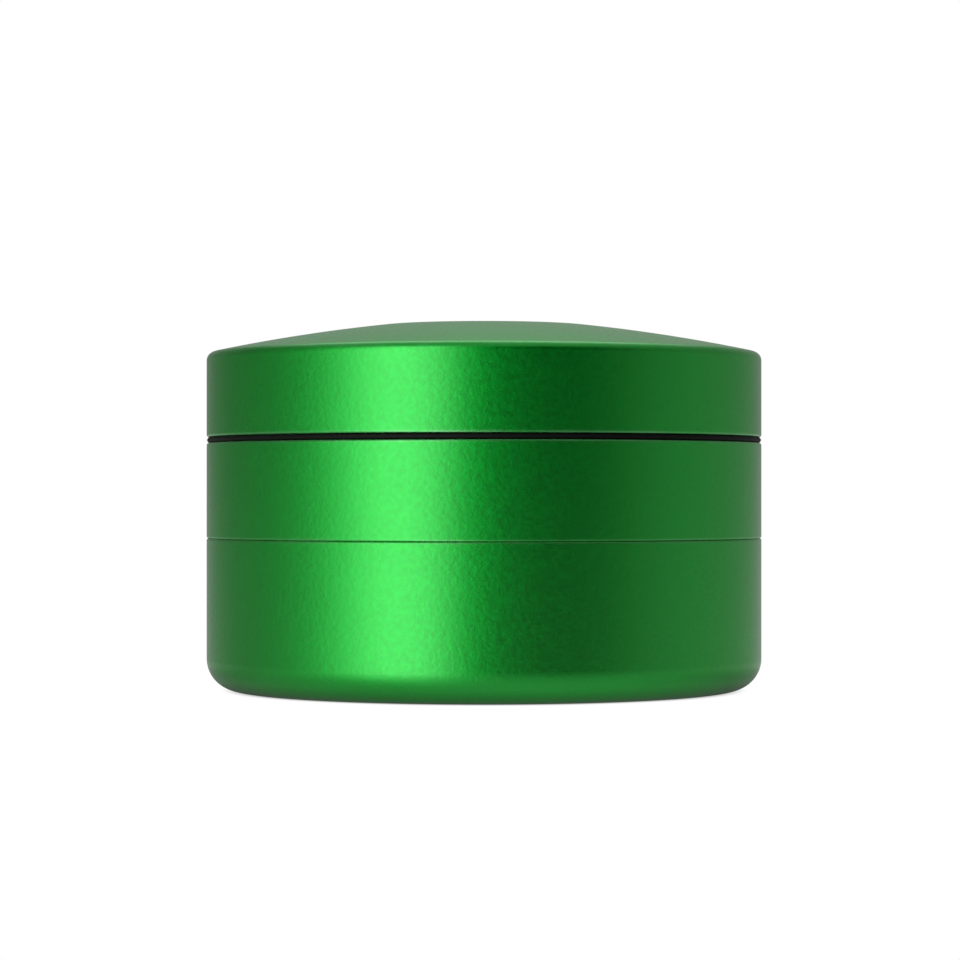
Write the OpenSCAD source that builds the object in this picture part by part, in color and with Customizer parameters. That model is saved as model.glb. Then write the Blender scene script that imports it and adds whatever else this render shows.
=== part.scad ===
// Hand grinder for dried herbs: a domed, toothed lid turns on a toothed chamber,
// which screws into a catch bowl with a drop-in sieve. The axis is Z and the base is z = 0.

/* [Body] */
// Outside diameter of the lid, the chamber and the bowl
body_d = 63; // [58:0.5:72]
// Height of the bowl's outside band, from the base to the seam
bowl_h = 17.2; // [16.5:0.1:24]
// Height of the chamber's outside band, from the seam to its shoulder
chamber_h = 10.8; // [9.5:0.1:14]
// Round between the bowl's side and its base
base_round = 3.6; // [1:0.1:4.5]
// Chamfer on the edges at the lid's gap
edge_chamfer = 0.25; // [0.1:0.05:0.5]
// Chamfer on the two edges at the seam
seam_chamfer = 0.12; // [0.05:0.01:0.4]

/* [Lid] */
// Height of the lid's side, up to where it would meet the crown in a sharp corner
lid_side_h = 9.5; // [8.5:0.1:14]
// Rise of the crown above that corner
crown_h = 3.2; // [1.5:0.1:5]
// Diameter of the flat in the middle of the crown
crown_flat_d = 24; // [14:0.5:34]
// How far the crown swells above a straight cone, half-way down
crown_swell = 0.25; // [0:0.05:0.4]
// Round between the lid's side and its crown
rim_round = 1; // [0.4:0.1:1.4]
// Wall of the lid's rim
lid_wall = 2.4; // [2.2:0.1:3.2]
// Thickness of the lid's roof at its outer corner
roof_t = 1.2; // [1.2:0.1:2.5]
// Round inside the lid, between wall and roof
lid_inner_round = 0.8; // [0.3:0.1:1.4]

/* [Glide ring] */
// Height of the gap between lid and chamber, which the ring's flange fills
glide_t = 0.6; // [0.4:0.05:1.2]
// How far the flange stays inside the body's outline
glide_inset = 0.7; // [0.1:0.05:0.8]
// Width of the tongue that snaps into the lid
tongue_w = 0.9; // [0.7:0.1:1.2]
// Height of that tongue
tongue_h = 0.9; // [0.5:0.1:1.6]
// Play of the tongue in its groove, on each side and above
tongue_play = 0.1; // [0.05:0.01:0.2]

/* [Grinding chamber] */
// Radial play between the lid's rim and the collar
collar_play = 0.35; // [0.2:0.05:0.6]
// Wall of the collar that stands up inside the lid
collar_wall = 1.95; // [1.5:0.05:2.6]
// Height of the collar above the shoulder
collar_h = 6.4; // [5:0.1:7.2]
// Thickness of the chamber's floor
floor_t = 2.4; // [1.6:0.1:3.5]
// Height of the hollow under the floor, measured from the seam
under_h = 4; // [2.8:0.1:4.8]
// Diameter of the holes that ground herbs drop through
hole_d = 4.4; // [3:0.1:4.8]
// Holes in the outer ring
holes_outer = 18; // [10:1:20]
// Holes in the inner ring
holes_inner = 12; // [6:1:13]

/* [Teeth] */
// Width of a tooth, along the radius
tooth_w = 2.8; // [2.2:0.1:3]
// Length of a tooth, along the way it travels
tooth_l = 5; // [3.5:0.1:5.6]
// Gap between the outermost teeth and the collar
wall_gap = 1; // [0.6:0.1:1.6]
// Gap between one ring of teeth and the next
ring_gap = 1.4; // [0.8:0.1:1.7]
// Gap between the tips of the lid's teeth and the floor
tip_gap = 1; // [0.5:0.1:2]
// How far the chamber's teeth stay below the top of the collar
tooth_drop = 0.5; // [0:0.1:2]
// Teeth in the lid's outer ring
lid_teeth_a = 14; // [8:2:18]
// Teeth in the chamber's outer ring
chamber_teeth_a = 12; // [8:2:14]
// Teeth in the lid's inner ring
lid_teeth_b = 10; // [6:2:12]
// Teeth in the chamber's inner ring
chamber_teeth_b = 6; // [4:2:8]

/* [Magnets] */
// Diameter of the two disc magnets
magnet_d = 8; // [6:0.5:9]
// Thickness of each magnet
magnet_t = 2.5; // [1.5:0.1:4]
// Wall around each magnet
magnet_wall = 2; // [1.2:0.1:2.5]
// Gap between the two magnets when the lid is on
magnet_gap = 0.3; // [0.1:0.05:0.8]
// Height of the chamber's magnet post above its floor
post_h = 6.2; // [5:0.1:8]

/* [Screw joint] */
// Wall of the bowl at its rim
rim_wall = 2.2; // [1.8:0.1:2.8]
// Pitch of the thread
thread_pitch = 1.5; // [1.4:0.05:1.6]
// Height of the thread's ridge above the skirt
thread_depth = 0.65; // [0.5:0.05:0.8]
// Radial play between a crest and the opposite root
thread_play = 0.2; // [0.15:0.01:0.3]
// Axial width of a ridge at its crest
crest_w = 0.35; // [0.2:0.05:0.4]
// Axial width of a ridge at its root
root_w = 0.9; // [0.7:0.05:0.95]
// Length of the threaded skirt below the seam
skirt_l = 5; // [4.8:0.1:5.4]
// Wall of the skirt behind the thread
skirt_wall = 1.3; // [0.9:0.1:1.8]
// Section diameter of the seal at the thread's root
seal_d = 1.2; // [0.8:0.05:1.2]

/* [Bowl and sieve] */
// Thickness of the bowl's floor
bowl_floor_t = 2.2; // [1.4:0.1:3]
// Round inside the bowl, between wall and floor
bowl_inner_round = 2.5; // [0.8:0.1:3]
// Height of the sieve's seat above the base
seat_z = 7.6; // [6.5:0.1:8.2]
// Width of the ledge that carries the sieve
seat_w = 1.6; // [1.2:0.05:2.4]
// Diameter of the shallow relief under the base
relief_d = 44; // [30:0.5:48]
// Depth of that relief
relief_h = 0.3; // [0.1:0.05:0.8]
// Height of the sieve's frame
frame_h = 2.6; // [2.4:0.1:3.2]
// Wall of the frame outside the clamp ring
frame_wall = 1.4; // [1.2:0.05:1.8]
// Thickness of the flange that the mesh lies on
flange_t = 0.9; // [0.6:0.1:1.1]
// Width of the clamp ring, which is also the mesh's border
clamp_w = 1.4; // [1:0.1:2]
// Thickness of the woven mesh
mesh_t = 0.2; // [0.1:0.05:0.4]
// Section diameter of the sieve's seal
sieve_seal_d = 1; // [0.8:0.05:1.05]

/* [Hidden] */
$fn = 96;

// Play that lets one turned piece slide past or drop into another
slide_play = 0.25;
// Play between a rubber seal and the metal beside it
seal_play = 0.05;
// Overlap that makes a cut or a joined piece go clean through
eps = 0.01;
// Straight cuts in each quarter of a round
round_steps = 8;
// Sections in each turn of a thread
turn_steps = 60;
// Angle over which each end of a thread rises to full height
fade_deg = 40;
// How deep a thread's ridge is sunk into the wall behind it, and how deep its ends start
ridge_root = 0.3;
ridge_start = 0.12;

// Heights, from the base up
body_r = body_d / 2;
seam_z = bowl_h;
shoulder_z = seam_z + chamber_h;
lid_z = shoulder_z + glide_t;
corner_z = lid_z + lid_side_h;
crown_z = corner_z + crown_h;
roof_z = corner_z - roof_t;
floor_under_z = seam_z + under_h;
floor_z = floor_under_z + floor_t;
collar_z = shoulder_z + collar_h;
tooth_top_z = collar_z - tooth_drop;
tooth_tip_z = floor_z + tip_gap;
post_z = floor_z + post_h;
boss_z = post_z + magnet_gap;
skirt_z = seam_z - skirt_l;

// Radii, from the outside in
lid_ir = body_r - lid_wall;
collar_or = lid_ir - collar_play;
room_r = collar_or - collar_wall;
land_r = body_r - rim_wall;
bore_relief_r = land_r - seal_play * 2;
crest_r = bore_relief_r - thread_play - seal_play;
skirt_or = crest_r - thread_depth;
bowl_crest_r = skirt_or + thread_play;
skirt_ir = skirt_or - skirt_wall;
seat_r = skirt_ir - slide_play;
frame_or = seat_r - slide_play;
frame_ir = frame_or - frame_wall;
mesh_open_r = frame_ir - clamp_w;
bowl_ir = seat_r - seat_w;
post_r = magnet_d / 2 + magnet_wall;

// Seals
seal_groove_h = seal_d + 2 * seal_play;
seal_r = land_r - seal_play - seal_d / 2;
sieve_seal_r = seat_r - seal_play - sieve_seal_d / 2;
sieve_groove_h = sieve_seal_d + 2 * seal_play;

// Rings of teeth: lid, chamber, lid, chamber, from the wall to the middle
ring_step = tooth_w + ring_gap;
ring_a = room_r - wall_gap - tooth_w / 2;
ring_b = ring_a - ring_step;
ring_c = ring_b - ring_step;
ring_d = ring_c - ring_step;
outer_hole_r = (ring_b + tooth_w / 2 + room_r) / 2;

// Thread: half the width of a ridge where it is sunk into its wall, the first section of the
// skirt's ridge, and how far both ridges run
ridge_half = root_w / 2 + ridge_root * (root_w - crest_w) / 2 / thread_depth;
thread_z = skirt_z + edge_chamfer + ridge_half;
thread_end_z = seam_z - seal_groove_h - ridge_half - seal_play;
skirt_turns = (thread_end_z - thread_z) / thread_pitch;
bowl_thread_z = thread_z + thread_pitch / 2;
bowl_turns = (thread_end_z - bowl_thread_z) / thread_pitch;
relief_z = skirt_z - 2 * slide_play;

// Points of an arc of radius r about c, from angle a0 to a1
function arc(c, r, a0, a1) =
    [for (i = [0:round_steps])
        let (a = a0 + (a1 - a0) * i / round_steps)
        c + r * [cos(a), sin(a)]];

// The crown's flank: how far its foot is from its flat, and its points from the foot up
crown_run = body_r - crown_flat_d / 2;
crown_flank = [for (i = [1:round_steps])
    let (t = i / round_steps)
    [body_r - crown_run * t, corner_z + crown_h * t + 4 * crown_swell * t * (1 - t)]];

// The round that eases the corner between the lid's side and its crown: the flank's slope at
// its foot, and the centre from which both are one radius away
crown_slope = atan((crown_h + 4 * crown_swell) / crown_run);
rim_centre = [body_r - rim_round,
              corner_z + rim_round * (tan(crown_slope) - 1 / cos(crown_slope))];

module lathe(points) {
    rotate_extrude()
        polygon(points);
}

// A ring of rectangular section
module ring(r_in, r_out, z0, z1) {
    lathe([[r_in, z0], [r_out, z0], [r_out, z1], [r_in, z1]]);
}

// A round rubber ring
module round_ring(r, d, z) {
    rotate_extrude()
        translate([r, z])
            circle(d = d, $fn = 32);
}

// One diamond tooth, its long axis along the way it travels
module tooth(r, z0, z1) {
    translate([r, 0, z0])
        linear_extrude(z1 - z0)
            polygon([[-tooth_w / 2, 0], [0, -tooth_l / 2], [tooth_w / 2, 0], [0, tooth_l / 2]]);
}

// A ring of teeth, set half a step round so that the X axis runs between two of them
module tooth_ring(r, count, z0, z1) {
    for (i = [0:count - 1])
        rotate((i + 0.5) * 360 / count)
            tooth(r, z0, z1);
}

module hole_ring(r, count) {
    for (i = [0:count - 1])
        rotate(i * 360 / count)
            translate([r, 0, floor_under_z - 1])
                cylinder(d = hole_d, h = floor_t + 2, $fn = 32);
}

// Height of a ridge at a given angle: at each end it rises out of the wall and sinks back in
function rise(depth, a, a_end) =
    min(depth, (depth + ridge_start) * min(a, a_end - a) / fade_deg - ridge_start);

// A helical ridge from radius r_root to r_tip, whose section centre starts at z0
module ridge(r_root, r_tip, z0, turns) {
    count = round(turns * turn_steps);
    a_end = turns * 360;
    way = sign(r_tip - r_root);
    depth = abs(r_tip - r_root);
    flank = (root_w - crest_w) / 2 / depth;
    sections = [for (i = [0:count])
        let (a = a_end * i / count,
             z = z0 + thread_pitch * a / 360,
             h = rise(depth, a, a_end),
             r0 = r_root - way * ridge_root,
             r1 = r_root + way * h,
             w0 = root_w / 2 + flank * ridge_root,
             w1 = root_w / 2 - flank * h)
        [for (p = [[r0, -w0], [r1, -w1], [r1, w1], [r0, w0]])
            [p[0] * cos(a), p[0] * sin(a), z + p[1]]]];
    n = len(sections[0]);
    faces = concat(
        [[for (k = [0:n - 1]) k], [for (k = [n - 1:-1:0]) count * n + k]],
        [for (i = [0:count - 1], k = [0:n - 1])
            let (k1 = (k + 1) % n)
            each [[i * n + k, (i + 1) * n + k, i * n + k1],
                  [i * n + k1, (i + 1) * n + k, (i + 1) * n + k1]]]);
    polyhedron([for (s = sections) each s],
               way < 0 ? faces : [for (f = faces) [for (k = [len(f) - 1:-1:0]) f[k]]]);
}

// The bowl: outside band, floor, ledge for the sieve, and a bored rim with an inside thread
module catch_bowl() {
    color("forestgreen") {
        lathe(concat(
            [[0, relief_h], [relief_d / 2, relief_h], [relief_d / 2, 0]],
            arc([body_r - base_round, base_round], base_round, -90, 0),
            [[body_r, seam_z - seam_chamfer], [body_r - seam_chamfer, seam_z],
             [land_r + edge_chamfer, seam_z], [land_r, seam_z - edge_chamfer],
             [land_r, seam_z - seal_groove_h], [bore_relief_r, seam_z - seal_groove_h],
             [bore_relief_r, relief_z], [seat_r, relief_z - (bore_relief_r - seat_r) / 2],
             [seat_r, seat_z], [bowl_ir, seat_z]],
            arc([bowl_ir - bowl_inner_round, bowl_floor_t + bowl_inner_round],
                bowl_inner_round, 0, -90),
            [[0, bowl_floor_t]]));
        ridge(bore_relief_r, bowl_crest_r, bowl_thread_z, bowl_turns);
    }
}

// The sieve's frame: a flange for the mesh, a wall, and a groove for its seal
module sieve_frame() {
    groove_z = seat_z + frame_h / 2;
    groove_r = sieve_seal_r - sieve_seal_d / 2 - seal_play;
    color("silver")
        difference() {
            lathe([[mesh_open_r, seat_z], [frame_or, seat_z], [frame_or, seat_z + frame_h],
                   [frame_ir, seat_z + frame_h], [frame_ir, seat_z + flange_t],
                   [mesh_open_r, seat_z + flange_t]]);
            ring(groove_r, frame_or + 1, groove_z - sieve_groove_h / 2,
                 groove_z + sieve_groove_h / 2);
        }
}

// The woven mesh, a disc clamped at its border
module sieve_mesh() {
    color("lightgray")
        translate([0, 0, seat_z + flange_t])
            cylinder(r = frame_ir - seal_play, h = mesh_t);
}

// The ring pressed into the frame on top of the mesh
module sieve_clamp_ring() {
    color("gainsboro")
        ring(mesh_open_r, frame_ir, seat_z + flange_t + mesh_t, seat_z + frame_h);
}

module sieve_seal() {
    color("dimgray")
        round_ring(sieve_seal_r, sieve_seal_d, seat_z + frame_h / 2);
}

module thread_seal() {
    color("dimgray")
        round_ring(seal_r, seal_d, seam_z - seal_groove_h / 2);
}

// The chamber: threaded skirt, outside band and collar, turned in one with its floor
module grinding_chamber() {
    groove_r = seal_r - seal_d / 2 - seal_play;
    color("forestgreen") {
        lathe([[room_r, floor_under_z], [skirt_ir, floor_under_z],
               [skirt_ir, skirt_z + edge_chamfer], [skirt_ir + edge_chamfer, skirt_z],
               [skirt_or - edge_chamfer, skirt_z], [skirt_or, skirt_z + edge_chamfer],
               [skirt_or, seam_z - seal_groove_h], [groove_r, seam_z - seal_groove_h],
               [groove_r, seam_z], [body_r - seam_chamfer, seam_z],
               [body_r, seam_z + seam_chamfer], [body_r, shoulder_z - edge_chamfer],
               [body_r - edge_chamfer, shoulder_z], [collar_or, shoulder_z],
               [collar_or, collar_z - edge_chamfer], [collar_or - edge_chamfer, collar_z],
               [room_r + edge_chamfer, collar_z], [room_r, collar_z - edge_chamfer]]);
        ridge(skirt_or, crest_r, thread_z, skirt_turns);
    }
}

// Floor of the chamber: two rings of drop holes, and a post in the middle for the magnet
module chamber_floor() {
    color("forestgreen")
        difference() {
            lathe([[0, floor_under_z], [room_r, floor_under_z], [room_r, floor_z],
                   [post_r, floor_z], [post_r, post_z - edge_chamfer],
                   [post_r - edge_chamfer, post_z], [magnet_d / 2, post_z],
                   [magnet_d / 2, post_z - magnet_t], [0, post_z - magnet_t]]);
            hole_ring(outer_hole_r, holes_outer);
            hole_ring(ring_c, holes_inner);
        }
}

module chamber_teeth_outer() {
    color("forestgreen")
        tooth_ring(ring_b, chamber_teeth_a, floor_z, tooth_top_z);
}

module chamber_teeth_inner() {
    color("forestgreen")
        tooth_ring(ring_d, chamber_teeth_b, floor_z, tooth_top_z);
}

module chamber_magnet() {
    color("silver")
        translate([0, 0, post_z - magnet_t])
            cylinder(d = magnet_d, h = magnet_t);
}

// The ring that the lid turns on: a flange in the gap, and a tongue that snaps into the lid
module glide_ring() {
    tongue_r = (lid_ir + body_r) / 2;
    color("black")
        lathe([[collar_or + collar_play / 2, shoulder_z], [body_r - glide_inset, shoulder_z],
               [body_r - glide_inset, lid_z], [tongue_r + tongue_w / 2, lid_z],
               [tongue_r + tongue_w / 2, lid_z + tongue_h],
               [tongue_r - tongue_w / 2, lid_z + tongue_h],
               [tongue_r - tongue_w / 2, lid_z], [collar_or + collar_play / 2, lid_z]]);
}

// The lid: domed roof, rim with a groove for the glide ring, and a boss for its magnet
module lid() {
    groove_r = (lid_ir + body_r) / 2;
    groove_half = tongue_w / 2 + tongue_play;
    color("forestgreen")
        difference() {
            lathe(concat(
                [[0, crown_z], [0, boss_z + magnet_t], [magnet_d / 2, boss_z + magnet_t],
                 [magnet_d / 2, boss_z], [post_r - edge_chamfer, boss_z],
                 [post_r, boss_z + edge_chamfer], [post_r, roof_z]],
                arc([lid_ir - lid_inner_round, roof_z - lid_inner_round],
                    lid_inner_round, 90, 0),
                [[lid_ir, lid_z], [body_r - edge_chamfer, lid_z],
                 [body_r, lid_z + edge_chamfer]],
                arc(rim_centre, rim_round, 0, 90 - crown_slope),
                crown_flank));
            ring(groove_r - groove_half, groove_r + groove_half, lid_z - 1,
                 lid_z + tongue_h + 2 * tongue_play);
        }
}

module lid_teeth_outer() {
    color("forestgreen")
        tooth_ring(ring_a, lid_teeth_a, tooth_tip_z, roof_z);
}

module lid_teeth_inner() {
    color("forestgreen")
        tooth_ring(ring_c, lid_teeth_b, tooth_tip_z, roof_z);
}

module lid_magnet() {
    color("silver")
        translate([0, 0, boss_z])
            cylinder(d = magnet_d, h = magnet_t);
}

catch_bowl();
sieve_frame();
sieve_mesh();
sieve_clamp_ring();
sieve_seal();
thread_seal();
grinding_chamber();
chamber_floor();
chamber_teeth_outer();
chamber_teeth_inner();
chamber_magnet();
glide_ring();
lid();
lid_teeth_outer();
lid_teeth_inner();
lid_magnet();
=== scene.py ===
import math

import bpy
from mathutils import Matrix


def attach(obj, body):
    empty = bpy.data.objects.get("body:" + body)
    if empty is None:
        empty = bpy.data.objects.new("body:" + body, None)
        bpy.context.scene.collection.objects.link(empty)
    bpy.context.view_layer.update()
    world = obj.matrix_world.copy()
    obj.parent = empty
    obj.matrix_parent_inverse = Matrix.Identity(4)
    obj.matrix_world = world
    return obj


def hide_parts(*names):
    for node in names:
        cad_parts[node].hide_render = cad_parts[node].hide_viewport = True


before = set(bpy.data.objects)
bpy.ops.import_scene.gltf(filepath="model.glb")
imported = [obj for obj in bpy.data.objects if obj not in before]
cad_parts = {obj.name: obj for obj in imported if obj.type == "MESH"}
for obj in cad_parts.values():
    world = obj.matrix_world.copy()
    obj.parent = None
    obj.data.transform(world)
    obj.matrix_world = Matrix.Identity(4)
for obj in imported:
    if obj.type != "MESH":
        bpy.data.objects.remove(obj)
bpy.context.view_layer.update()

# ---------------------------------------------------------------------------------------------
# Catch bowl. The bottom of the grinder: turned from aluminium bar with a bored rim that has a
# coarse inside thread, and a ledge for the sieve. Bead blasted, then dyed green and sealed.

# Sizes are in millimetres from the axis and from the table.
BODY_R = 31.5
SEAM_Z = 17.2
SEAM_ROUND = 0.23
BASE_ROUND = 3.6
RELIEF_R = 22
RELIEF_DEPTH = 0.3
BOWL_RIM_R = 29.3
EDGE_CHAMFER = 0.25
SEAL_SEAT_Z = 15.9
THREAD_BORE_R = 29.2
THREAD_FOOT_Z = 11.7
SIEVE_BORE_R = 26.75
SIEVE_BORE_TOP_Z = 10.475
SIEVE_SEAT_Z = 7.6
TRAY_R = 25.15
TRAY_ROUND = 2.5
BOWL_FLOOR_Z = 2.2
THREAD_PITCH = 1.5
CREST_HALF = 0.175
ROOT_HALF = 0.45
RIDGE_SUNK = 0.3
ENDS_SUNK = 0.12
ENDS_FADE = 40  # degrees
THREAD_STEPS = 120  # in each turn
BLASTED_EDGE = 0.04
TOP_Z = 41.3


def rounded(centre_r, centre_z, radius, start, end, steps=10):
    """Points of a round on an outline, from one angle to the other, in degrees."""
    angles = [math.radians(start + (end - start) * i / steps) for i in range(steps + 1)]
    return [(centre_r + radius * math.cos(a), centre_z + radius * math.sin(a)) for a in angles]


def select_only(piece):
    bpy.ops.object.select_all(action="DESELECT")
    piece.select_set(True)
    bpy.context.view_layer.objects.active = piece


def start_edit(piece):
    select_only(piece)
    bpy.ops.object.mode_set(mode="EDIT")
    bpy.ops.mesh.select_mode(type="VERT")
    bpy.ops.mesh.select_all(action="SELECT")


def turn(name, outline, closed=False, steps=256):
    """Draws an outline of radius and height, in millimetres, corner by corner, and spins it."""
    bpy.ops.object.select_all(action="DESELECT")
    bpy.ops.mesh.primitive_plane_add(size=0.001)
    piece = bpy.context.object
    piece.name = piece.data.name = name
    start_edit(piece)
    bpy.ops.mesh.merge(type="CENTER")
    bpy.ops.transform.translate(value=(outline[0][0] / 1000, 0, outline[0][1] / 1000))
    here = outline[0]
    for point in outline[1:] + (outline[:1] if closed else []):
        move = ((point[0] - here[0]) / 1000, 0, (point[1] - here[1]) / 1000)
        bpy.ops.mesh.extrude_region_move(TRANSFORM_OT_translate={"value": move})
        here = point
    bpy.ops.mesh.select_all(action="SELECT")
    bpy.ops.mesh.spin(steps=steps, angle=2 * math.pi, center=(0, 0, 0), axis=(0, 0, 1))
    bpy.ops.mesh.select_all(action="SELECT")
    bpy.ops.mesh.remove_doubles(threshold=2e-6)
    bpy.ops.mesh.normals_make_consistent(inside=False)
    bpy.ops.object.mode_set(mode="OBJECT")
    return piece


def ease_edges(piece, width, segments=2):
    """Breaks every sharp edge by a fine round, as blasting and tumbling do."""
    select_only(piece)
    bpy.ops.object.modifier_add(type="BEVEL")
    bevel = piece.modifiers[-1]
    bevel.width = width / 1000
    bevel.segments = segments
    bevel.limit_method = "ANGLE"
    bevel.angle_limit = math.radians(25)
    bpy.ops.object.modifier_apply(modifier=bevel.name)


def finish_piece(piece, material, node, body):
    """Smooths the piece, gives it its finish, and puts it in its node's place."""
    select_only(piece)
    bpy.ops.object.shade_smooth_by_angle(angle=math.radians(30))
    bpy.ops.object.modifier_add(type="WEIGHTED_NORMAL")
    piece.modifiers[-1].keep_sharp = True
    bpy.ops.object.modifier_apply(modifier=piece.modifiers[-1].name)
    piece.data.materials.clear()
    piece.data.materials.append(material)
    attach(piece, body)
    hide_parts(node)


def thread_ridge(name, root_r, tip_r, start_z, turns):
    """One run of thread: a sloped section swept up a helix, its ends sinking into the wall."""
    way = 1 if tip_r > root_r else -1
    depth = abs(tip_r - root_r)
    flank = (ROOT_HALF - CREST_HALF) / depth
    bpy.ops.object.select_all(action="DESELECT")
    bpy.ops.mesh.primitive_plane_add(size=0.001, rotation=(math.pi / 2, 0, 0))
    ridge = bpy.context.object
    ridge.name = ridge.data.name = name
    bpy.ops.object.transform_apply(location=True, rotation=True, scale=True)
    for corner in ridge.data.vertices:
        outer = corner.co.x * way > 0
        half = CREST_HALF if outer else ROOT_HALF + flank * RIDGE_SUNK
        corner.co.z = (start_z + math.copysign(half, corner.co.z)) / 1000
        corner.co.x = (tip_r if outer else root_r - RIDGE_SUNK * way) / 1000
    tips = [v.index for v in ridge.data.vertices if abs(v.co.x * 1000 - tip_r) < 0.01]
    bpy.ops.object.modifier_add(type="SCREW")
    sweep = ridge.modifiers[-1]
    count = round(turns * THREAD_STEPS)
    sweep.angle = turns * 2 * math.pi
    sweep.screw_offset = turns * THREAD_PITCH / 1000
    sweep.steps = sweep.render_steps = count
    sweep.use_merge_vertices = False
    bpy.ops.object.modifier_apply(modifier=sweep.name)
    fade = THREAD_STEPS * ENDS_FADE / 360
    for vertex in ridge.data.vertices:
        place, corner = divmod(vertex.index, 4)
        if corner in tips:
            share = min(place, count - place) / fade
            height = min(depth, (depth + ENDS_SUNK) * share - ENDS_SUNK)
            radius = math.hypot(vertex.co.x, vertex.co.y)
            scale = (root_r + way * height) / 1000 / radius
            vertex.co.x *= scale
            vertex.co.y *= scale
    start_edit(ridge)
    bpy.ops.mesh.select_all(action="DESELECT")
    bpy.ops.mesh.select_non_manifold()
    bpy.ops.mesh.fill_holes(sides=4)
    bpy.ops.mesh.select_all(action="SELECT")
    bpy.ops.mesh.normals_make_consistent(inside=False)
    bpy.ops.object.mode_set(mode="OBJECT")
    return ridge


def join(piece, *others):
    select_only(piece)
    for other in others:
        other.select_set(True)
    bpy.ops.object.join()


def linear(code):
    """A colour as written, such as "#2BA845", turned into the light that it stands for."""
    parts = [int(code[i:i + 2], 16) / 255 for i in (1, 3, 5)]
    return [c / 12.92 if c <= 0.04045 else ((c + 0.055) / 1.055) ** 2.4 for c in parts] + [1]


def add_node(tree, kind, settings={}, links={}):
    """Adds a node to a material or the world, with its settings and what feeds it."""
    node = tree.nodes.new(kind)
    for key, value in settings.items():
        if isinstance(key, str) and hasattr(node, key):
            setattr(node, key, value)
        else:
            node.inputs[key].default_value = value
    for key, output in links.items():
        tree.links.new(output, node.inputs[key])
    return node


def ramp_stops(node, stops):
    """Sets a colour ramp to greys, each stop a position and a level."""
    ramp = node.color_ramp
    for place, level in stops[1:-1]:
        ramp.elements.new(place).color = (level, level, level, 1)
    for element, (place, level) in ((ramp.elements[0], stops[0]), (ramp.elements[-1], stops[-1])):
        element.position = place
        element.color = (level, level, level, 1)


def new_material(name):
    """An empty material, its shader, and the piece's own coordinates."""
    material = bpy.data.materials.new(name)
    material.use_nodes = True
    tree = material.node_tree
    shader = tree.nodes["Principled BSDF"]
    place = add_node(tree, "ShaderNodeTexCoord").outputs["Object"]
    return material, tree, shader, place


# Anodised aluminium: a metal that shines through a dyed, glass-clear oxide layer, so that its
# highlight is pale green and its edges turn grey where the layer mirrors the room. The bead
# blast leaves a grain of about 0.1 mm, drawn here at 0.3 mm so that it shows. The outside edges
# are painted paler in patches: partly wear, partly a painted highlight for the pale lines that
# these edges reflect.
anodised, tree, shader, place = new_material("green_anodised_aluminium")
grain = add_node(tree, "ShaderNodeTexNoise", {"Scale": 1800, "Detail": 2, "Roughness": 0.5},
                 {"Vector": place})
cloud = add_node(tree, "ShaderNodeTexNoise", {"Scale": 420, "Detail": 3, "Roughness": 0.5},
                 {"Vector": place})
tint = add_node(tree, "ShaderNodeMix", {"data_type": "RGBA", 6: linear("#0DC83C"),
                                        7: linear("#0CBF38")}, {0: cloud.outputs["Fac"]})
gloss = add_node(tree, "ShaderNodeMapRange", {"From Min": 0.3, "From Max": 0.7,
                                              "To Min": 0.36, "To Max": 0.44},
                 {"Value": grain.outputs["Fac"]})
dents = add_node(tree, "ShaderNodeBump", {"Strength": 0.5, "Distance": 0.00006},
                 {"Height": grain.outputs["Fac"]})
height = add_node(tree, "ShaderNodeSeparateXYZ", {}, {0: place})
level = add_node(tree, "ShaderNodeMapRange", {"From Max": TOP_Z / 1000},
                 {"Value": height.outputs["Z"]})
edges = add_node(tree, "ShaderNodeValToRGB", {}, {"Fac": level.outputs["Result"]})
# Heights of the outside edges, in millimetres, and how much paler each is painted, as wear and
# painted highlight.
ramp_stops(edges, [(mm / TOP_Z, wear_and_sheen) for mm, wear_and_sheen in (
    (0, 0), (16.9, 0), (17.1, 0.8), (17.3, 0.8), (17.5, 0), (27.6, 0), (27.9, 1),
    (28.7, 1), (29, 0), (37.85, 0), (38.1, 1), (38.3, 1), (38.45, 0), (TOP_Z, 0))])
patches = add_node(tree, "ShaderNodeTexNoise", {"Scale": 260, "Detail": 3}, {"Vector": place})
patchy = add_node(tree, "ShaderNodeMapRange", {"From Min": 0.35, "From Max": 0.65,
                                               "To Min": 0.2, "To Max": 0.5},
                  {"Value": patches.outputs["Fac"]})
flat = add_node(tree, "ShaderNodeVectorMath", {"operation": "MULTIPLY", 1: (1, 1, 0)}, {0: place})
radius = add_node(tree, "ShaderNodeVectorMath", {"operation": "LENGTH"},
                  {0: flat.outputs["Vector"]})
outside = add_node(tree, "ShaderNodeMapRange", {"From Min": 0.0307, "From Max": 0.0311},
                   {"Value": radius.outputs["Value"]})
patchy_outside = add_node(tree, "ShaderNodeMath", {"operation": "MULTIPLY"},
                   {0: patchy.outputs["Result"], 1: outside.outputs["Result"]})
wear_and_sheen_mask = add_node(tree, "ShaderNodeMath", {"operation": "MULTIPLY"},
                  {0: edges.outputs["Color"], 1: patchy_outside.outputs[0]})
# Painted highlight with wear: the outside edges are mixed towards a pale green, in patches.
wear_and_sheen = add_node(tree, "ShaderNodeMix", {"data_type": "RGBA", 7: linear("#8CC49A")},
                {0: wear_and_sheen_mask.outputs[0], 6: tint.outputs[2]})
tree.links.new(wear_and_sheen.outputs[2], shader.inputs["Base Color"])
tree.links.new(gloss.outputs["Result"], shader.inputs["Roughness"])
tree.links.new(dents.outputs["Normal"], shader.inputs["Normal"])
shader.inputs["Metallic"].default_value = 1
shader.inputs["Coat Weight"].default_value = 1
shader.inputs["Coat Roughness"].default_value = 0.18
shader.inputs["Coat IOR"].default_value = 1.5
shader.inputs["Specular Tint"].default_value = linear("#C8FFD0")

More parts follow.
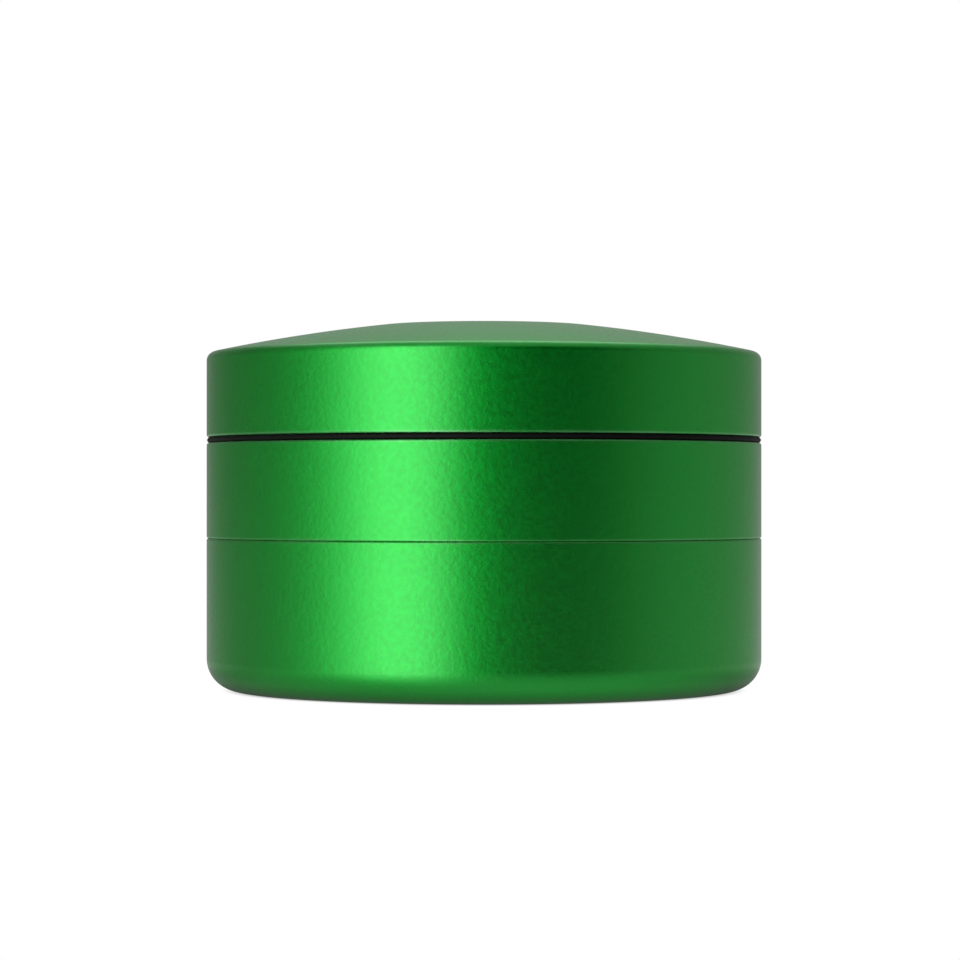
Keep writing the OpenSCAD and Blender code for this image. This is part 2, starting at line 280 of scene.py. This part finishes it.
bowl = turn("bowl_body", [
    (0, RELIEF_DEPTH), (RELIEF_R - RELIEF_DEPTH / 2, RELIEF_DEPTH), (RELIEF_R, 0)]
    + rounded(BODY_R - BASE_ROUND, BASE_ROUND, BASE_ROUND, -90, 0, 16)
    + rounded(BODY_R - SEAM_ROUND, SEAM_Z - SEAM_ROUND, SEAM_ROUND, 0, 90, 6)
    + [(BOWL_RIM_R + EDGE_CHAMFER, SEAM_Z), (BOWL_RIM_R, SEAM_Z - EDGE_CHAMFER),
       (BOWL_RIM_R, SEAL_SEAT_Z), (THREAD_BORE_R, SEAL_SEAT_Z), (THREAD_BORE_R, THREAD_FOOT_Z),
       (SIEVE_BORE_R, SIEVE_BORE_TOP_Z), (SIEVE_BORE_R, SIEVE_SEAT_Z), (TRAY_R, SIEVE_SEAT_Z)]
    + rounded(TRAY_R - TRAY_ROUND, BOWL_FLOOR_Z + TRAY_ROUND, TRAY_ROUND, 0, -90, 12)
    + [(0, BOWL_FLOOR_Z)])
ease_edges(bowl, BLASTED_EDGE)
# The ridge's foot and crest from the axis, the height that it starts at, and its turns.
join(bowl, thread_ridge("bowl_thread", THREAD_BORE_R, 28.5, 13.777, 0.9949))
finish_piece(bowl, anodised, "catch_bowl", "bowl")

# ---------------------------------------------------------------------------------------------
# Sieve frame. A thin turned ring with a flange that carries the mesh, and a groove outside for
# its rubber ring. Bare aluminium, left as it comes off the lathe.

MESH_OPEN_R = 23.7
SIEVE_R = 26.5
SIEVE_TOP_Z = 10.2
CLAMP_R = 25.1
CLOTH_Z = 8.5
GROOVE_R = 25.65
GROOVE_LOW_Z = 8.35
GROOVE_HIGH_Z = 9.45

turned, tree, shader, place = new_material("turned_aluminium")
# The tool leaves rings about 0.1 mm apart round the axis, which draw the highlight out.
rings = add_node(tree, "ShaderNodeTexWave", {"wave_type": "RINGS", "rings_direction": "Z",
                                             "Scale": 2600, "Distortion": 0.4},
                 {"Vector": place})
marks = add_node(tree, "ShaderNodeBump", {"Strength": 0.2, "Distance": 0.00001},
                 {"Height": rings.outputs["Fac"]})
tree.links.new(marks.outputs["Normal"], shader.inputs["Normal"])
shader.inputs["Base Color"].default_value = linear("#DDDFE0")
shader.inputs["Metallic"].default_value = 1
shader.inputs["Roughness"].default_value = 0.28

sieve_frame = turn("sieve_ring", [
    (MESH_OPEN_R, SIEVE_SEAT_Z), (SIEVE_R, SIEVE_SEAT_Z), (SIEVE_R, GROOVE_LOW_Z),
    (GROOVE_R, GROOVE_LOW_Z), (GROOVE_R, GROOVE_HIGH_Z), (SIEVE_R, GROOVE_HIGH_Z),
    (SIEVE_R, SIEVE_TOP_Z), (CLAMP_R, SIEVE_TOP_Z), (CLAMP_R, CLOTH_Z),
    (MESH_OPEN_R, CLOTH_Z)], closed=True)
ease_edges(sieve_frame, 0.06)
finish_piece(sieve_frame, turned, "sieve_frame", "sieve")

# ---------------------------------------------------------------------------------------------
# Sieve mesh. A disc cut from plain-woven stainless wire cloth, clamped at its border.

CLOTH_R = 25.05
CLOTH_TOP_Z = 8.7

woven, tree, shader, place = new_material("woven_stainless_wire")
# Wires lie 0.5 mm apart each way. Each passes over one crossing wire and under the next.
WIRE_APART = 0.0005
WIRE_WAVE = 2 * math.pi / 20 / WIRE_APART
across = add_node(tree, "ShaderNodeTexWave", {"bands_direction": "X", "Scale": WIRE_WAVE},
                  {"Vector": place})
along = add_node(tree, "ShaderNodeTexWave", {"bands_direction": "Y", "Scale": WIRE_WAVE},
                 {"Vector": place})
over = add_node(tree, "ShaderNodeTexChecker", {"Scale": 1 / WIRE_APART, "Color1": (1, 1, 1, 1),
                                               "Color2": (0, 0, 0, 1)}, {"Vector": place})
wire = add_node(tree, "ShaderNodeMix", {"data_type": "FLOAT"},
                {0: over.outputs["Fac"], 2: across.outputs["Fac"], 3: along.outputs["Fac"]})
# Painted shade: the wires are pale on top and dark in the gaps and dips between them.
painted_wire_shade = add_node(tree, "ShaderNodeMix", {"data_type": "RGBA", 6: linear("#3A3A39"),
                                         7: linear("#D6D5D0")}, {0: wire.outputs[0]})
lift = add_node(tree, "ShaderNodeBump", {"Strength": 0.8, "Distance": 0.0001},
                {"Height": wire.outputs[0]})
tree.links.new(painted_wire_shade.outputs[2], shader.inputs["Base Color"])
tree.links.new(lift.outputs["Normal"], shader.inputs["Normal"])
shader.inputs["Metallic"].default_value = 1
shader.inputs["Roughness"].default_value = 0.3

cloth_disc = turn("sieve_wire_cloth", [(0, CLOTH_Z), (CLOTH_R, CLOTH_Z),
                                       (CLOTH_R, CLOTH_TOP_Z), (0, CLOTH_TOP_Z)])
finish_piece(cloth_disc, woven, "sieve_mesh", "sieve")

# ---------------------------------------------------------------------------------------------
# Clamp ring. Pressed into the frame on top of the mesh. The same bare aluminium as the frame.

clamp = turn("sieve_clamp", [(MESH_OPEN_R, CLOTH_TOP_Z), (CLAMP_R, CLOTH_TOP_Z),
                             (CLAMP_R, SIEVE_TOP_Z), (MESH_OPEN_R, SIEVE_TOP_Z)], closed=True)
ease_edges(clamp, 0.12)
finish_piece(clamp, turned, "sieve_clamp_ring", "sieve")

# ---------------------------------------------------------------------------------------------
# Rubber rings. One in the sieve frame's groove, which keeps the frame from rattling, and one at
# the root of the chamber's thread. Moulded nitrile rubber, black and slightly dull.

rubber, tree, shader, place = new_material("moulded_nitrile_rubber")
bloom = add_node(tree, "ShaderNodeTexNoise", {"Scale": 900, "Detail": 3}, {"Vector": place})
dulled = add_node(tree, "ShaderNodeMapRange", {"To Min": 0.42, "To Max": 0.6},
                  {"Value": bloom.outputs["Fac"]})
tree.links.new(dulled.outputs["Result"], shader.inputs["Roughness"])
shader.inputs["Base Color"].default_value = linear("#161717")
shader.inputs["IOR"].default_value = 1.52

# The middle and the radius of each ring's section, which is drawn with 24 corners.
sieve_seal = turn("sieve_rubber_ring", rounded(26.2, 8.9, 0.5, 0, 345, 23), closed=True)
finish_piece(sieve_seal, rubber, "sieve_seal", "sieve")

thread_seal = turn("thread_rubber_ring", rounded(28.65, 16.55, 0.6, 0, 345, 23), closed=True)
finish_piece(thread_seal, rubber, "thread_seal", "seal")

# ---------------------------------------------------------------------------------------------
# Grinding chamber. The middle of the grinder, turned and milled from one billet: a skirt with a
# coarse thread, the band that shows, a drilled floor, a collar inside the lid and a post in the
# middle for the magnet. The same green anodised finish as the bowl.

SKIRT_R = 28.3
SKIRT_BORE_R = 27
SKIRT_END_Z = 12.2
SEAL_ROOT_R = 28
FLOOR_UNDER_Z = 21.2
CHAMBER_FLOOR_Z = 23.6
SHOULDER_Z = 28
GAP_ROUND = 0.3
COLLAR_R = 28.75
COLLAR_TOP_Z = 34.4
ROOM_R = 26.8
POST_R = 6
POST_TOP_Z = 29.8
MAGNET_R = 4
LOWER_MAGNET_Z = 27.3
HOLE_R = 2.2
HOLE_CHAMFER = 0.4
DRILL_BELOW = 0.7
DRILL_ABOVE = 0.15
# How far each ring of drop holes is from the axis, and how many it has.
DROP_HOLES = ((24.2, 18), (16, 12))

chamber = turn("chamber_body", [
    (0, FLOOR_UNDER_Z), (SKIRT_BORE_R, FLOOR_UNDER_Z), (SKIRT_BORE_R, SKIRT_END_Z + EDGE_CHAMFER),
    (SKIRT_BORE_R + EDGE_CHAMFER, SKIRT_END_Z), (SKIRT_R - EDGE_CHAMFER, SKIRT_END_Z),
    (SKIRT_R, SKIRT_END_Z + EDGE_CHAMFER), (SKIRT_R, SEAL_SEAT_Z), (SEAL_ROOT_R, SEAL_SEAT_Z),
    (SEAL_ROOT_R, SEAM_Z)]
    + rounded(BODY_R - SEAM_ROUND, SEAM_Z + SEAM_ROUND, SEAM_ROUND, -90, 0, 6)
    + rounded(BODY_R - GAP_ROUND, SHOULDER_Z - GAP_ROUND, GAP_ROUND, 0, 90, 6)
    + [(COLLAR_R, SHOULDER_Z), (COLLAR_R, COLLAR_TOP_Z - EDGE_CHAMFER),
       (COLLAR_R - EDGE_CHAMFER, COLLAR_TOP_Z), (ROOM_R + EDGE_CHAMFER, COLLAR_TOP_Z),
       (ROOM_R, COLLAR_TOP_Z - EDGE_CHAMFER), (ROOM_R, CHAMBER_FLOOR_Z),
       (POST_R, CHAMBER_FLOOR_Z), (POST_R, POST_TOP_Z - EDGE_CHAMFER),
       (POST_R - EDGE_CHAMFER, POST_TOP_Z), (MAGNET_R, POST_TOP_Z), (MAGNET_R, LOWER_MAGNET_Z),
       (0, LOWER_MAGNET_Z)])
ease_edges(chamber, BLASTED_EDGE)


def copy_of(piece):
    copy = piece.copy()
    copy.data = piece.data.copy()
    bpy.context.collection.objects.link(copy)
    return copy


drill_top_z = CHAMBER_FLOOR_Z + DRILL_ABOVE
drill_tip_z = FLOOR_UNDER_Z - DRILL_BELOW
drill = turn("drop_hole_drill", [(0, drill_tip_z), (HOLE_R, drill_tip_z),
                                 (HOLE_R, drill_top_z - HOLE_CHAMFER),
                                 (HOLE_R + HOLE_CHAMFER, drill_top_z), (0, drill_top_z)], steps=40)
drills = []
for radius, count in DROP_HOLES:
    for i in range(count):
        angle = 2 * math.pi * i / count
        copy = copy_of(drill)
        copy.location = (radius / 1000 * math.cos(angle), radius / 1000 * math.sin(angle), 0)
        drills.append(copy)
bpy.data.objects.remove(drill)
join(drills[0], *drills[1:])
select_only(chamber)
bpy.ops.object.modifier_add(type="BOOLEAN")
cut = chamber.modifiers[-1]
cut.operation = "DIFFERENCE"
cut.solver = "EXACT"
cut.object = drills[0]
bpy.ops.object.modifier_apply(modifier=cut.name)
bpy.data.objects.remove(drills[0])
join(chamber, thread_ridge("chamber_thread", SKIRT_R, 28.95, 13.027, 1.4949))
finish_piece(chamber, anodised, "grinding_chamber", "chamber")
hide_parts("chamber_floor")

# ---------------------------------------------------------------------------------------------
# Chamber teeth. Two rings of diamond pegs left standing when the floor is milled, with edges
# that the blasting has just broken.

TOOTH_WIDTH = 2.8
TOOTH_LENGTH = 5
TOOTH_ROOT = 0.2
TOOTH_TOP_Z = 33.9


def tooth_ring(name, radius, count, low, high):
    """One diamond peg, modelled once and copied round the axis, half a step off the X axis."""
    bpy.ops.object.select_all(action="DESELECT")
    bpy.ops.mesh.primitive_cylinder_add(vertices=4, radius=0.001, depth=(high - low) / 1000,
                                        location=(0, 0, (low + high) / 2000))
    peg = bpy.context.object
    bpy.ops.object.transform_apply(location=True, rotation=True, scale=True)
    start_edit(peg)
    bpy.ops.transform.resize(value=(TOOTH_WIDTH / 2, TOOTH_LENGTH / 2, 1),
                             center_override=(0, 0, 0))
    bpy.ops.transform.translate(value=(radius / 1000, 0, 0))
    bpy.ops.object.mode_set(mode="OBJECT")
    ease_edges(peg, 0.16, 3)
    pegs = []
    for i in range(count):
        copy = copy_of(peg)
        copy.rotation_euler = (0, 0, 2 * math.pi * (i + 0.5) / count)
        pegs.append(copy)
    bpy.data.objects.remove(peg)
    join(pegs[0], *pegs[1:])
    bpy.ops.object.transform_apply(location=True, rotation=True, scale=True)
    pegs[0].name = pegs[0].data.name = name
    return pegs[0]


outer_pegs = tooth_ring("chamber_pegs_outer", 20.2, 12, CHAMBER_FLOOR_Z - TOOTH_ROOT, TOOTH_TOP_Z)
finish_piece(outer_pegs, anodised, "chamber_teeth_outer", "chamber")
inner_pegs = tooth_ring("chamber_pegs_inner", 11.8, 6, CHAMBER_FLOOR_Z - TOOTH_ROOT, TOOTH_TOP_Z)
finish_piece(inner_pegs, anodised, "chamber_teeth_inner", "chamber")

# ---------------------------------------------------------------------------------------------
# Chamber magnet. A neodymium disc pressed into the post, plated with nickel.

nickel, tree, shader, place = new_material("nickel_plate")
# Barrel plating leaves a bright skin with a faint waviness, about 1 mm across.
waves = add_node(tree, "ShaderNodeTexNoise", {"Scale": 900, "Detail": 2}, {"Vector": place})
skin = add_node(tree, "ShaderNodeBump", {"Strength": 0.15, "Distance": 0.00002},
                {"Height": waves.outputs["Fac"]})
tree.links.new(skin.outputs["Normal"], shader.inputs["Normal"])
shader.inputs["Base Color"].default_value = linear("#CFCBC3")
shader.inputs["Metallic"].default_value = 1
shader.inputs["Roughness"].default_value = 0.16

lower_magnet = turn("chamber_magnet_disc", [
    (0, LOWER_MAGNET_Z), (MAGNET_R, LOWER_MAGNET_Z), (MAGNET_R, POST_TOP_Z), (0, POST_TOP_Z)],
    steps=96)
ease_edges(lower_magnet, 0.25, 3)
finish_piece(lower_magnet, nickel, "chamber_magnet", "chamber")

# ---------------------------------------------------------------------------------------------
# Glide ring. A thin black ring between lid and chamber that keeps metal off metal. Its tongue
# snaps into the lid's rim. Machined acetal, which is smooth and a little waxy.

LID_Z = 28.6
GLIDE_BORE_R = 28.925
GLIDE_ROUND = 0.3
GLIDE_ROUND_R = 31.15
TONGUE_BORE_R = 29.85
TONGUE_R = 30.75
TONGUE_TOP_Z = 29.5

acetal, tree, shader, place = new_material("black_acetal")
wax = add_node(tree, "ShaderNodeTexNoise", {"Scale": 700, "Detail": 2}, {"Vector": place})
sheen = add_node(tree, "ShaderNodeMapRange", {"To Min": 0.5, "To Max": 0.62},
                 {"Value": wax.outputs["Fac"]})
tree.links.new(sheen.outputs["Result"], shader.inputs["Roughness"])
shader.inputs["Base Color"].default_value = linear("#040704")
shader.inputs["IOR"].default_value = 1.48
shader.inputs["Specular IOR Level"].default_value = 0.18

glide = turn("glide_ring_body", [(GLIDE_BORE_R, SHOULDER_Z)]
             + rounded(GLIDE_ROUND_R, SHOULDER_Z + GLIDE_ROUND, GLIDE_ROUND, -90, 90, 12)
             + [(TONGUE_R, LID_Z), (TONGUE_R, TONGUE_TOP_Z), (TONGUE_BORE_R, TONGUE_TOP_Z),
                (TONGUE_BORE_R, LID_Z), (GLIDE_BORE_R, LID_Z)], closed=True)
ease_edges(glide, 0.05)
finish_piece(glide, acetal, "glide_ring", "glide")

# ---------------------------------------------------------------------------------------------
# Lid. A dome turned from bar: a low cone with a flat middle, a rounded rim, a groove under the
# rim for the glide ring, and a boss inside for its magnet. The same green anodised finish.

LID_BORE_R = 29.1
TONGUE_SLOT_BORE_R = 29.75
TONGUE_SLOT_R = 30.85
TONGUE_SLOT_TOP_Z = 29.7
ROOF_Z = 36.9
ROOF_ROUND = 0.8
BOSS_Z = 30.1
UPPER_MAGNET_TOP_Z = 32.6
CORNER_Z = 38.1
RIM_ROUND = 1
RIM_ROUND_Z = 37.2925
CROWN_RISE = 3.2
CROWN_SWELL = 1
CROWN_RUN = 19.5
CROWN_STEPS = 24
CROWN_SLOPE = math.degrees(math.atan2(CROWN_RISE + CROWN_SWELL, CROWN_RUN))
crown = []
for i in range(1, CROWN_STEPS + 1):
    t = i / CROWN_STEPS
    crown.append((BODY_R - CROWN_RUN * t,
                  CORNER_Z + CROWN_RISE * t + CROWN_SWELL * t * (1 - t)))

lid = turn("lid_body", [
    (0, UPPER_MAGNET_TOP_Z), (MAGNET_R, UPPER_MAGNET_TOP_Z), (MAGNET_R, BOSS_Z),
    (POST_R - EDGE_CHAMFER, BOSS_Z), (POST_R, BOSS_Z + EDGE_CHAMFER), (POST_R, ROOF_Z)]
    + rounded(LID_BORE_R - ROOF_ROUND, ROOF_Z - ROOF_ROUND, ROOF_ROUND, 90, 0)
    + [(LID_BORE_R, LID_Z), (TONGUE_SLOT_BORE_R, LID_Z), (TONGUE_SLOT_BORE_R, TONGUE_SLOT_TOP_Z),
       (TONGUE_SLOT_R, TONGUE_SLOT_TOP_Z), (TONGUE_SLOT_R, LID_Z)]
    + rounded(BODY_R - GAP_ROUND, LID_Z + GAP_ROUND, GAP_ROUND, -90, 0, 6)
    + rounded(BODY_R - RIM_ROUND, RIM_ROUND_Z, RIM_ROUND, 0, 90 - CROWN_SLOPE, 12)
    + crown + [(BODY_R - CROWN_RUN - 0.4, TOP_Z), (0, TOP_Z)])
ease_edges(lid, BLASTED_EDGE)
finish_piece(lid, anodised, "lid", "lid")

# ---------------------------------------------------------------------------------------------
# Lid teeth. Two rings of the same diamond pegs, which hang from the roof between the chamber's.

LID_TOOTH_TIP_Z = 24.6

lid_outer_pegs = tooth_ring("lid_pegs_outer", 24.4, 14, LID_TOOTH_TIP_Z, ROOF_Z + TOOTH_ROOT)
finish_piece(lid_outer_pegs, anodised, "lid_teeth_outer", "lid")
lid_inner_pegs = tooth_ring("lid_pegs_inner", 16, 10, LID_TOOTH_TIP_Z, ROOF_Z + TOOTH_ROOT)
finish_piece(lid_inner_pegs, anodised, "lid_teeth_inner", "lid")

# ---------------------------------------------------------------------------------------------
# Lid magnet. The second neodymium disc, pressed into the boss with the other pole down.

upper_magnet = turn("lid_magnet_disc", [
    (0, BOSS_Z), (MAGNET_R, BOSS_Z), (MAGNET_R, UPPER_MAGNET_TOP_Z), (0, UPPER_MAGNET_TOP_Z)],
    steps=96)
ease_edges(upper_magnet, 0.25, 3)
finish_piece(upper_magnet, nickel, "lid_magnet", "lid")

# ---------------------------------------------------------------------------------------------
# Table. A wide white sheet that keeps a soft shadow close under the grinder. What the metal
# mirrors of it is a painted reflection, a glow that only reflections see: a mid grey with painted
# shade dark by the base, painted light palest in front, and mostly gone 5 cm out.

bpy.ops.object.select_all(action="DESELECT")
bpy.ops.mesh.primitive_circle_add(vertices=128, radius=6, fill_type="NGON",
                                  location=(0, 0, -0.00005))
table = bpy.context.object
table.name = "table"
sheet = bpy.data.materials.new("white_sheet")
sheet.use_nodes = True
tree = sheet.node_tree
tree.nodes.clear()
paper = add_node(tree, "ShaderNodeBsdfDiffuse", {"Color": linear("#F4F4F4")})
clear = add_node(tree, "ShaderNodeBsdfTransparent")
ray = add_node(tree, "ShaderNodeLightPath")
spot = add_node(tree, "ShaderNodeTexCoord").outputs["Object"]
away = add_node(tree, "ShaderNodeVectorMath", {"operation": "LENGTH"}, {0: spot})
far_off = add_node(tree, "ShaderNodeMapRange", {"From Min": 0.026, "From Max": 0.0302,
                                                "interpolation_type": "SMOOTHSTEP"},
                   {"Value": away.outputs["Value"]})
swept = add_node(tree, "ShaderNodeMath", {"operation": "MULTIPLY"},
                 {0: far_off.outputs["Result"], 1: ray.outputs["Is Camera Ray"]})
# Seen straight, it is plain white from just outside the base.
backdrop = add_node(tree, "ShaderNodeEmission", {"Color": (1, 1, 1, 1), "Strength": 1})
seen_sheet = add_node(tree, "ShaderNodeMixShader", {},
                      {0: swept.outputs[0], 1: paper.outputs[0], 2: backdrop.outputs[0]})
# Painted shade by the base and painted light in front, in the glow that the metal mirrors.
out_from_base = add_node(tree, "ShaderNodeMapRange", {"From Min": 0.0275, "From Max": 0.0315,
                                                      "To Min": 0.08},
                         {"Value": away.outputs["Value"]})
depth_on_sheet = add_node(tree, "ShaderNodeSeparateXYZ", {}, {0: spot})
front_light = add_node(tree, "ShaderNodeMapRange", {"From Min": -0.033, "From Max": -0.012,
                                                    "To Min": 0.4, "To Max": 0.2},
                       {"Value": depth_on_sheet.outputs["Y"]})
near_level = add_node(tree, "ShaderNodeMath", {"operation": "MULTIPLY"},
                      {0: out_from_base.outputs["Result"], 1: front_light.outputs["Result"]})
painted_sheet_reflection = add_node(tree, "ShaderNodeEmission", {"Color": (1, 1, 1, 1)},
                          {"Strength": near_level.outputs[0]})
thinning = add_node(tree, "ShaderNodeMapRange", {"From Min": 0.0325, "From Max": 0.045,
                                                  "To Max": 0.9},
                    {"Value": away.outputs["Value"]})
mirrored = add_node(tree, "ShaderNodeMixShader", {},
                    {0: thinning.outputs["Result"], 1: painted_sheet_reflection.outputs[0],
                     2: clear.outputs[0]})
plain_or_mirrored = add_node(tree, "ShaderNodeMixShader", {},
                             {0: ray.outputs["Is Glossy Ray"], 1: seen_sheet.outputs[0],
                              2: mirrored.outputs[0]})
# It lets the lamp's shadow rays through, and is seen from above alone.
side = add_node(tree, "ShaderNodeNewGeometry")
let_through = add_node(tree, "ShaderNodeMath", {"operation": "MAXIMUM"},
                       {0: ray.outputs["Is Shadow Ray"], 1: side.outputs["Backfacing"]})
either = add_node(tree, "ShaderNodeMixShader", {},
                  {0: let_through.outputs[0], 1: plain_or_mirrored.outputs[0],
                   2: clear.outputs[0]})
add_node(tree, "ShaderNodeOutputMaterial", {}, {"Surface": either.outputs[0]})
table.data.materials.append(sheet)

# ---------------------------------------------------------------------------------------------
# Light. One tall soft box in front on the left, and a plain pale room. The metal mirrors a room
# that is a mid grey, with a dark gap in front on the right and the soft box's image in front on
# the left: the lamp itself is kept out of what the metal mirrors.

SOFT_BOX_TURN = math.radians(-35.2)
SOFT_BOX_AWAY = 0.62

bpy.ops.object.light_add(type="AREA", location=(0, 0, 0))
soft_box = bpy.context.object
soft_box.name = "soft_box"
soft_box.visible_glossy = False
soft_box.data.shape = "RECTANGLE"
soft_box.data.size = 0.44
soft_box.data.size_y = 1.1
soft_box.data.energy = 3.1
soft_box.location = (SOFT_BOX_AWAY * math.sin(SOFT_BOX_TURN),
                     -SOFT_BOX_AWAY * math.cos(SOFT_BOX_TURN), 0.06)
soft_box.rotation_euler = (math.radians(90), 0, SOFT_BOX_TURN)

world = bpy.data.worlds.new("pale_room")
bpy.context.scene.world = world
world.use_nodes = True
world.cycles.sampling_method = "NONE"
tree = world.node_tree
tree.nodes.clear()
look = add_node(tree, "ShaderNodeTexCoord").outputs["Generated"]
parts = add_node(tree, "ShaderNodeSeparateXYZ", {}, {0: look})
back = add_node(tree, "ShaderNodeMath", {"operation": "MULTIPLY", 1: -1}, {0: parts.outputs["Y"]})
turned_by = add_node(tree, "ShaderNodeMath", {"operation": "ARCTAN2"},
                     {0: parts.outputs["X"], 1: back.outputs[0]})
share = add_node(tree, "ShaderNodeMapRange", {"From Min": -math.pi, "From Max": math.pi},
                 {"Value": turned_by.outputs[0]})
round_room = add_node(tree, "ShaderNodeValToRGB", {}, {"Fac": share.outputs["Result"]})
# Degrees to the right of the camera, and how bright the room is there.
ROOM_PEAK = 2.5
ramp_stops(round_room, [(angle / 360 + 0.5, level / ROOM_PEAK) for angle, level in (
    (-180, 0.28), (-165, 0.22), (-150, 0.18), (-125, 0.14), (-95, 0.16), (-80, 0.22),
    (-70, 0.38), (-60, 0.72), (-50, 1.42), (-42, 2.05), (-30, 2.2), (-22, 1.75), (-14, 0.85),
    (-8, 0.2), (-2, 0.03), (4, 0), (38, 0), (50, 0.05), (60, 0.11), (72, 0.19), (95, 0.24),
    (130, 0.23), (150, 0.24), (180, 0.28))])
# The soft box ends above, where the front of the room is dim.
box_top = add_node(tree, "ShaderNodeMapRange", {"From Min": 0.62, "From Max": 0.78},
                   {"Value": parts.outputs["Z"]})
round_walls = add_node(tree, "ShaderNodeMath", {"operation": "MULTIPLY", 1: ROOM_PEAK},
                       {0: round_room.outputs["Color"]})
lower_room = add_node(tree, "ShaderNodeMix", {"data_type": "FLOAT", 3: 0.35},
                      {0: box_top.outputs["Result"], 2: round_walls.outputs[0]})
# The far part of the sheet adds to it below the horizon.
below = add_node(tree, "ShaderNodeMapRange", {"From Min": 0.02, "From Max": -0.08, "To Max": 0.16},
                 {"Value": parts.outputs["Z"]})
walls = add_node(tree, "ShaderNodeMath", {"operation": "ADD"},
                 {0: lower_room.outputs[0], 1: below.outputs["Result"]})
# A pale ceiling light a little behind the grinder edges the rim of the lid.
tilt = add_node(tree, "ShaderNodeVectorMath", {"operation": "DOT_PRODUCT", 1: (0, 0.57, 0.82)},
                {0: look})
ceiling = add_node(tree, "ShaderNodeMapRange", {"From Min": 0.88, "From Max": 0.98},
                   {"Value": tilt.outputs["Value"]})
room = add_node(tree, "ShaderNodeMix", {"data_type": "FLOAT", 3: 1},
                {0: ceiling.outputs["Result"], 2: walls.outputs[0]})
mirrored = add_node(tree, "ShaderNodeBackground", {"Color": (1, 1, 1, 1)},
                    {"Strength": room.outputs[0]})
plain = add_node(tree, "ShaderNodeBackground", {"Color": (1, 1, 1, 1), "Strength": 0.72})
white = add_node(tree, "ShaderNodeBackground", {"Color": (1, 1, 1, 1), "Strength": 1})
ray = add_node(tree, "ShaderNodeLightPath")
lit = add_node(tree, "ShaderNodeMixShader", {},
               {0: ray.outputs["Is Glossy Ray"], 1: plain.outputs[0], 2: mirrored.outputs[0]})
seen = add_node(tree, "ShaderNodeMixShader", {},
                {0: ray.outputs["Is Camera Ray"], 1: lit.outputs[0], 2: white.outputs[0]})
add_node(tree, "ShaderNodeOutputWorld", {}, {"Surface": seen.outputs[0]})

# ---------------------------------------------------------------------------------------------
# Camera. Level with the middle of the chamber's band, and close in, so that the bands curve.

bpy.ops.object.camera_add(location=(0, -0.375, 0.0222), rotation=(math.pi / 2, 0, 0))
camera = bpy.context.object
camera.name = "camera"
camera.data.lens = 123.4
camera.data.sensor_width = 36
camera.data.shift_x = -0.0042
camera.data.shift_y = 0.0146
camera.data.clip_start = 0.01
bpy.context.scene.camera = camera
bpy.context.scene.view_settings.view_transform = "Standard"
